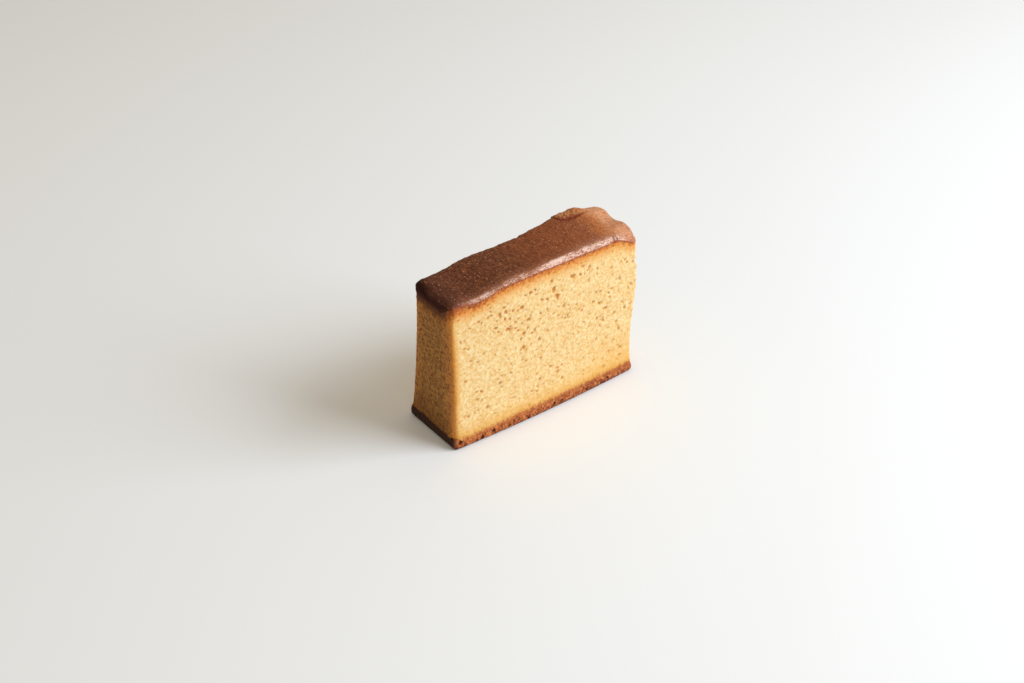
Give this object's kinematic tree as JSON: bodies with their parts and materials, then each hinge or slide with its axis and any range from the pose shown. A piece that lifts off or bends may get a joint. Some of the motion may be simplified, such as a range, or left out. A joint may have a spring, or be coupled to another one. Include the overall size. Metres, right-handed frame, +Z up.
{
  "type": "castella sponge cake slice",
  "caption": "Tall rectangular slice of golden castella sponge with a wavy dark browned top skin and a thin browned base, standing on its base.",
  "frame": {"origin": "middle of the slice's box, on its underside", "axes": "+X along the slice's length, -Y out of the broad cut face that bows slightly at its foot, +Z up"},
  "size_m": [0.0918, 0.0328, 0.0708],
  "materials": {
    "crumb": "matte, fine open pores, cut with a knife",
    "top_skin": "satin browned sugar skin, slightly tacky on its rolled edge",
    "base_crust": "matte porous browned crust"
  },
  "bodies": {
    "root": {"castella_slice": "crumb"}
  },
  "joints": []
}
